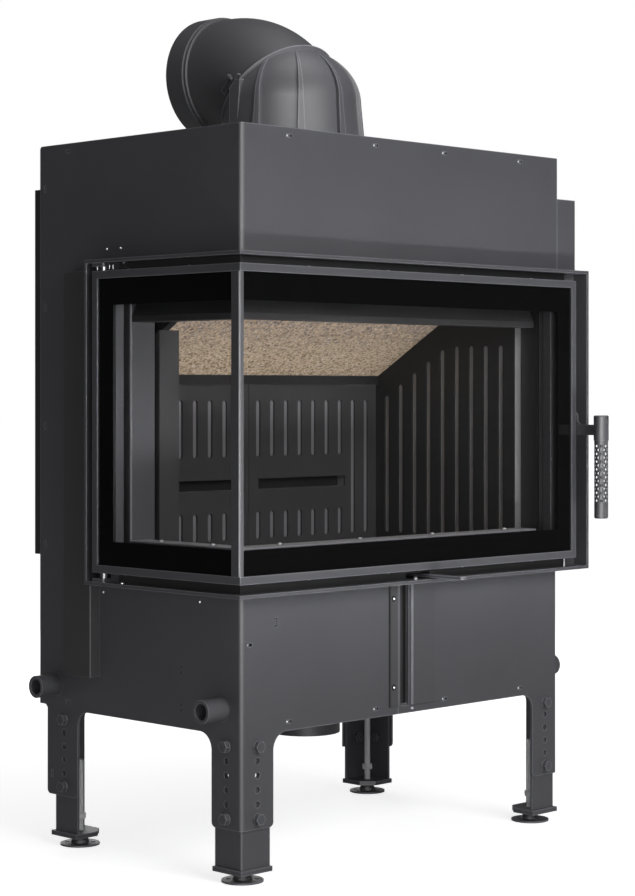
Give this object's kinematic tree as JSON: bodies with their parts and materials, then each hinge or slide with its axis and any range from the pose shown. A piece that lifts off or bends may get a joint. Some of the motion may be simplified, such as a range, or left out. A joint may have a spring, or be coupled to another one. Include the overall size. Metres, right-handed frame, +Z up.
{
  "type": "fireplace insert",
  "caption": "Corner wood-fireplace insert with an L-shaped glazed door, a ribbed flue bell with a swivelling elbow, an air slider and telescopic legs on screw feet.",
  "frame": {"origin": "middle of the overall box on the floor", "axes": "+X to the right along the front, +Y to the back, +Z up; the glazed corner is at the front left"},
  "size_m": [0.883, 0.6446, 1.4719],
  "materials": {
    "anthracite_steel": "fine-textured anthracite powder coat",
    "dark_steel": "dark heat-proof paint",
    "cast_iron": "painted grey cast iron",
    "lining": "dark grooved lining",
    "vermiculite": "speckled pressed vermiculite board",
    "glass": "clear glass ceramic with a black printed border",
    "rope": "woven rope seal",
    "zinc": "bright zinc plating",
    "handle_black": "matt black coat",
    "galvanised": "plain sheet steel"
  },
  "bodies": {
    "firebox": {"casing_left": "anthracite_steel", "casing_right": "anthracite_steel", "top_plate": "anthracite_steel", "base_plate": "anthracite_steel", "rear_plate": "anthracite_steel", "rear_base_plate": "anthracite_steel", "seam_channel": "anthracite_steel", "cover_strip": "anthracite_steel", "door_surround": "anthracite_steel", "window_plate": "dark_steel", "door_seat": "dark_steel", "side_column": "anthracite_steel", "right_shield": "anthracite_steel", "rear_shield": "anthracite_steel", "carrying_tubes": "anthracite_steel", "air_duct": "anthracite_steel", "firebox_floor": "dark_steel", "firebox_shell": "dark_steel", "air_valve_seat": "dark_steel", "hearth": "lining", "rear_liner_left": "lining", "rear_liner_right": "lining", "right_liner": "lining", "left_liner": "lining", "duct_post": "dark_steel", "liner_rail": "dark_steel", "baffle": "vermiculite", "lintel_duct": "dark_steel", "front_ledge": "dark_steel", "hinge_brackets": "anthracite_steel", "door_catch": "anthracite_steel", "flue_bell": "cast_iron", "flue_clamps": "anthracite_steel", "leg_bolts": "anthracite_steel"},
    "door": {"door_frame": "anthracite_steel", "corner_profile": "anthracite_steel", "front_glass": "glass", "side_glass": "glass", "glass_retainer": "dark_steel", "door_seal": "rope", "hinge_pins": "anthracite_steel", "handle_pin": "anthracite_steel"},
    "door_handle": {"handle_lever": "handle_black", "grip_head": "handle_black", "grip_tube": "handle_black"},
    "air_control": {"air_slider": "dark_steel"},
    "flue_elbow": {"flue_elbow": "cast_iron"},
    "leg_front_left": {"inner_leg_front_left": "anthracite_steel"},
    "foot_front_left": {"foot_screw_front_left": "zinc", "foot_disc_front_left": "anthracite_steel"},
    "leg_front_right": {"inner_leg_front_right": "anthracite_steel"},
    "foot_front_right": {"foot_screw_front_right": "zinc", "foot_disc_front_right": "anthracite_steel"},
    "leg_rear_left": {"inner_leg_rear_left": "anthracite_steel"},
    "foot_rear_left": {"foot_screw_rear_left": "zinc", "foot_disc_rear_left": "anthracite_steel"},
    "leg_rear_right": {"inner_leg_rear_right": "anthracite_steel"},
    "foot_rear_right": {"foot_screw_rear_right": "zinc", "foot_disc_rear_right": "anthracite_steel"}
  },
  "joints": [
    {"name": "door_hinge", "type": "hinge", "parent": "firebox", "child": "door", "pos_m": [-0.4195, 0.09975, 0.7], "axis": [0, 0, -1], "range_deg": [0, 95]},
    {"name": "handle_lift", "type": "hinge", "parent": "door", "child": "door_handle", "pos_m": [0.4025, -0.23875, 0.737], "axis": [-1, 0, 0], "range_deg": [0, 30]},
    {"name": "air_slide", "type": "slide", "parent": "firebox", "child": "air_control", "axis": [1, 0, 0], "range_m": [-0.04, 0]},
    {"name": "elbow_swivel", "type": "hinge", "parent": "firebox", "child": "flue_elbow", "pos_m": [-0.0045, 0.11285, 1.3152], "axis": [0, 0.7071, 0.7071], "range_deg": [0, 180]},
    {"name": "leg_slide_front_left", "type": "slide", "parent": "firebox", "child": "leg_front_left", "axis": [0, 0, -1], "range_m": [0, 0.069]},
    {"name": "foot_screw_front_left", "type": "slide", "parent": "leg_front_left", "child": "foot_front_left", "axis": [0, 0, -1], "range_m": [0, 0.018]},
    {"name": "leg_slide_front_right", "type": "slide", "parent": "firebox", "child": "leg_front_right", "axis": [0, 0, -1], "range_m": [0, 0.069]},
    {"name": "foot_screw_front_right", "type": "slide", "parent": "leg_front_right", "child": "foot_front_right", "axis": [0, 0, -1], "range_m": [0, 0.018]},
    {"name": "leg_slide_rear_left", "type": "slide", "parent": "firebox", "child": "leg_rear_left", "axis": [0, 0, -1], "range_m": [0, 0.069]},
    {"name": "foot_screw_rear_left", "type": "slide", "parent": "leg_rear_left", "child": "foot_rear_left", "axis": [0, 0, -1], "range_m": [0, 0.018]},
    {"name": "leg_slide_rear_right", "type": "slide", "parent": "firebox", "child": "leg_rear_right", "axis": [0, 0, -1], "range_m": [0, 0.069]},
    {"name": "foot_screw_rear_right", "type": "slide", "parent": "leg_rear_right", "child": "foot_rear_right", "axis": [0, 0, -1], "range_m": [0, 0.018]}
  ]
}
